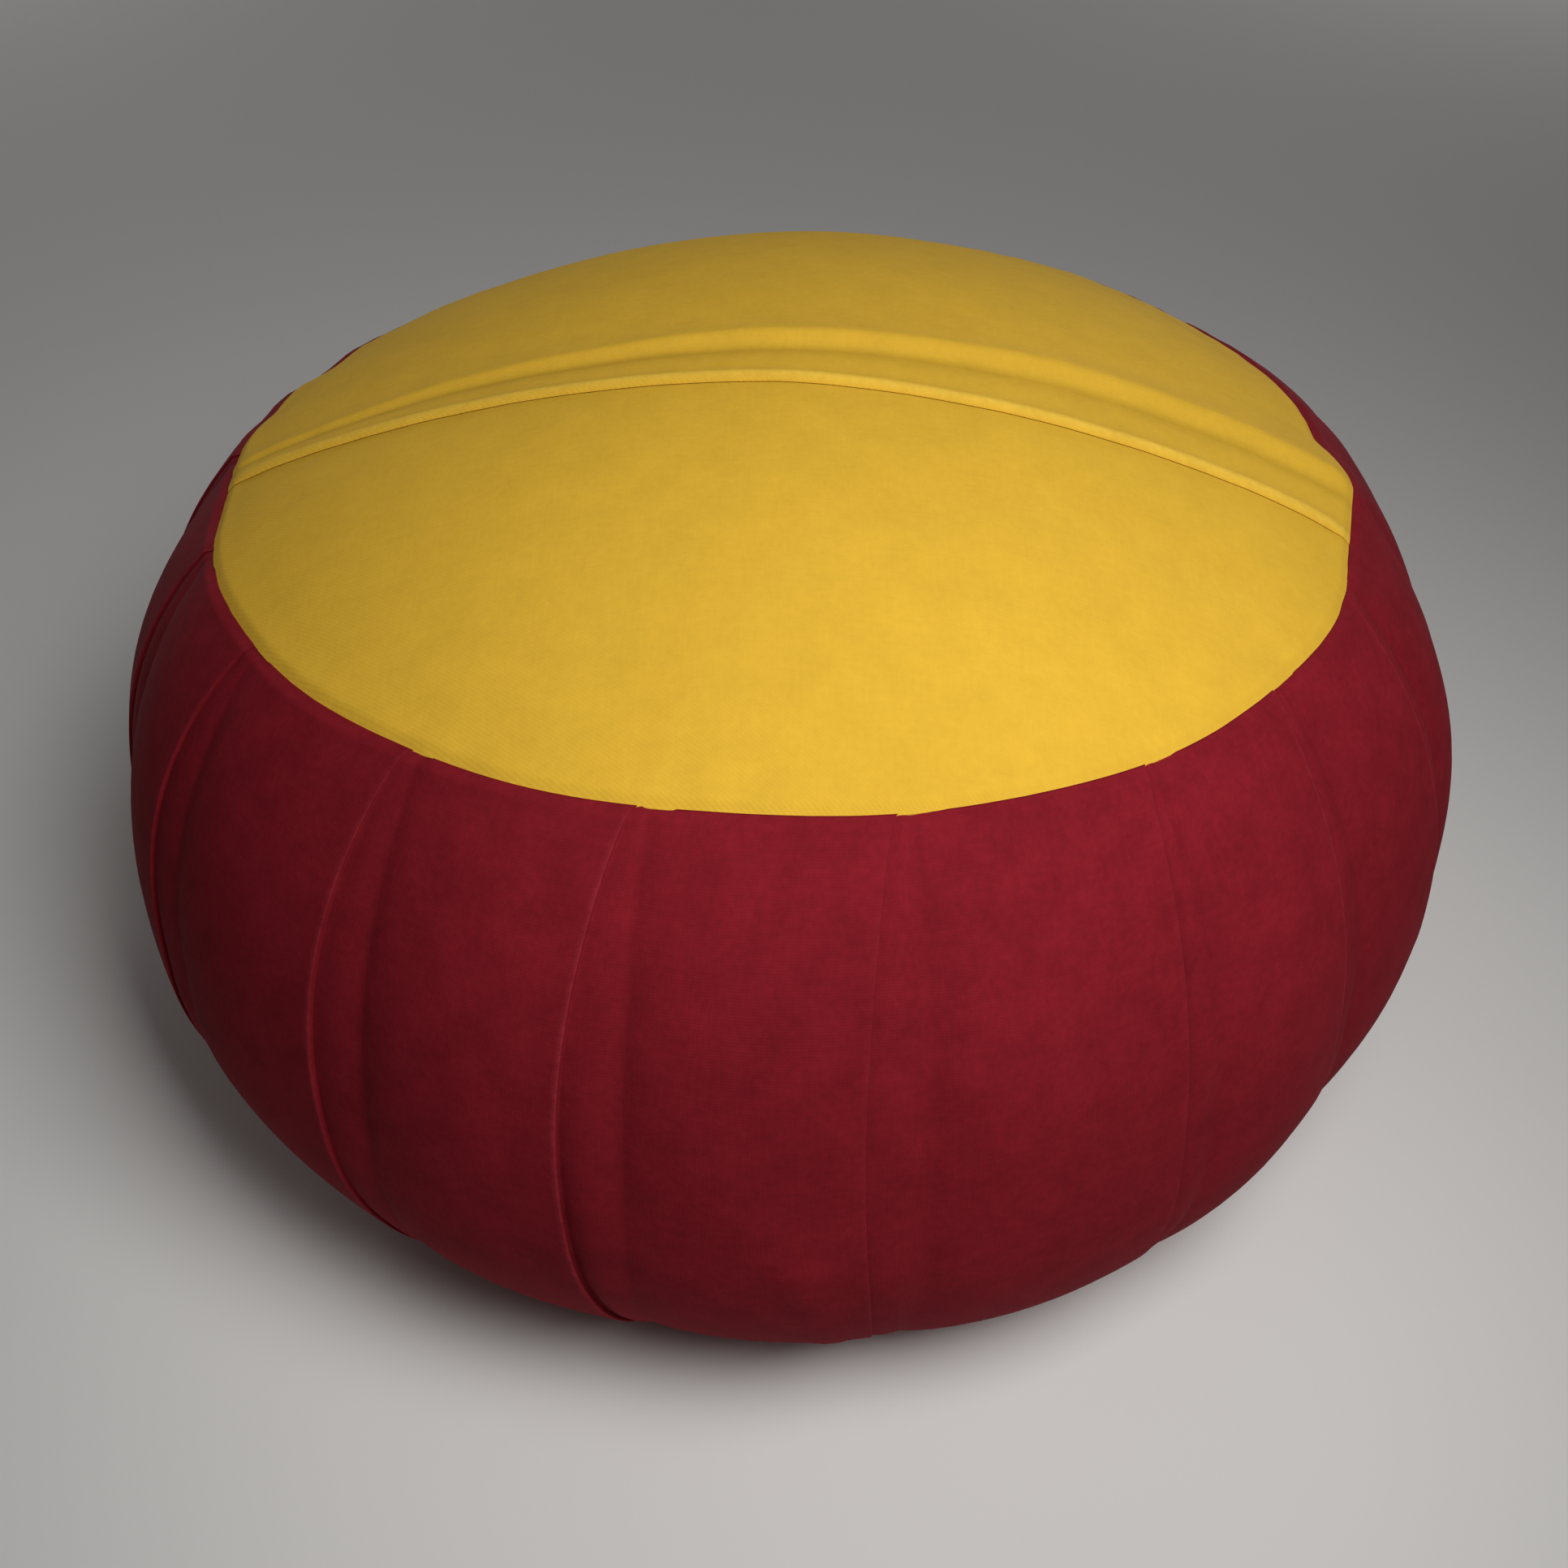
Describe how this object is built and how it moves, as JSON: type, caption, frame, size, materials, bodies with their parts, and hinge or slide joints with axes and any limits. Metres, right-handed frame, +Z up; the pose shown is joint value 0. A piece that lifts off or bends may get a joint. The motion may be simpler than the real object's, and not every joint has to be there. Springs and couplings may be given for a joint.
{
  "type": "meditation cushion",
  "caption": "Round, plump floor cushion for sitting in meditation: crowned top of lapped panels, knife-pleated side band, flat resting base.",
  "frame": {"origin": "middle of the cushion's footprint, on the plane that its underside rests on", "axes": "+Z up through the middle of the crown; -Y towards the front, where the lap's folded edge faces; +X to the right seen from the front"},
  "size_m": [0.363, 0.367, 0.2112],
  "materials": {
    "burgundy_cotton": "matt plain-weave cotton",
    "base_cotton": "matt plain-weave cotton",
    "yellow_cotton": "matt fine twill cotton"
  },
  "bodies": {
    "root": {"pleated_body": "burgundy_cotton", "base_panel": "base_cotton", "top_front_panel": "yellow_cotton", "top_back_panel": "yellow_cotton"}
  },
  "joints": []
}
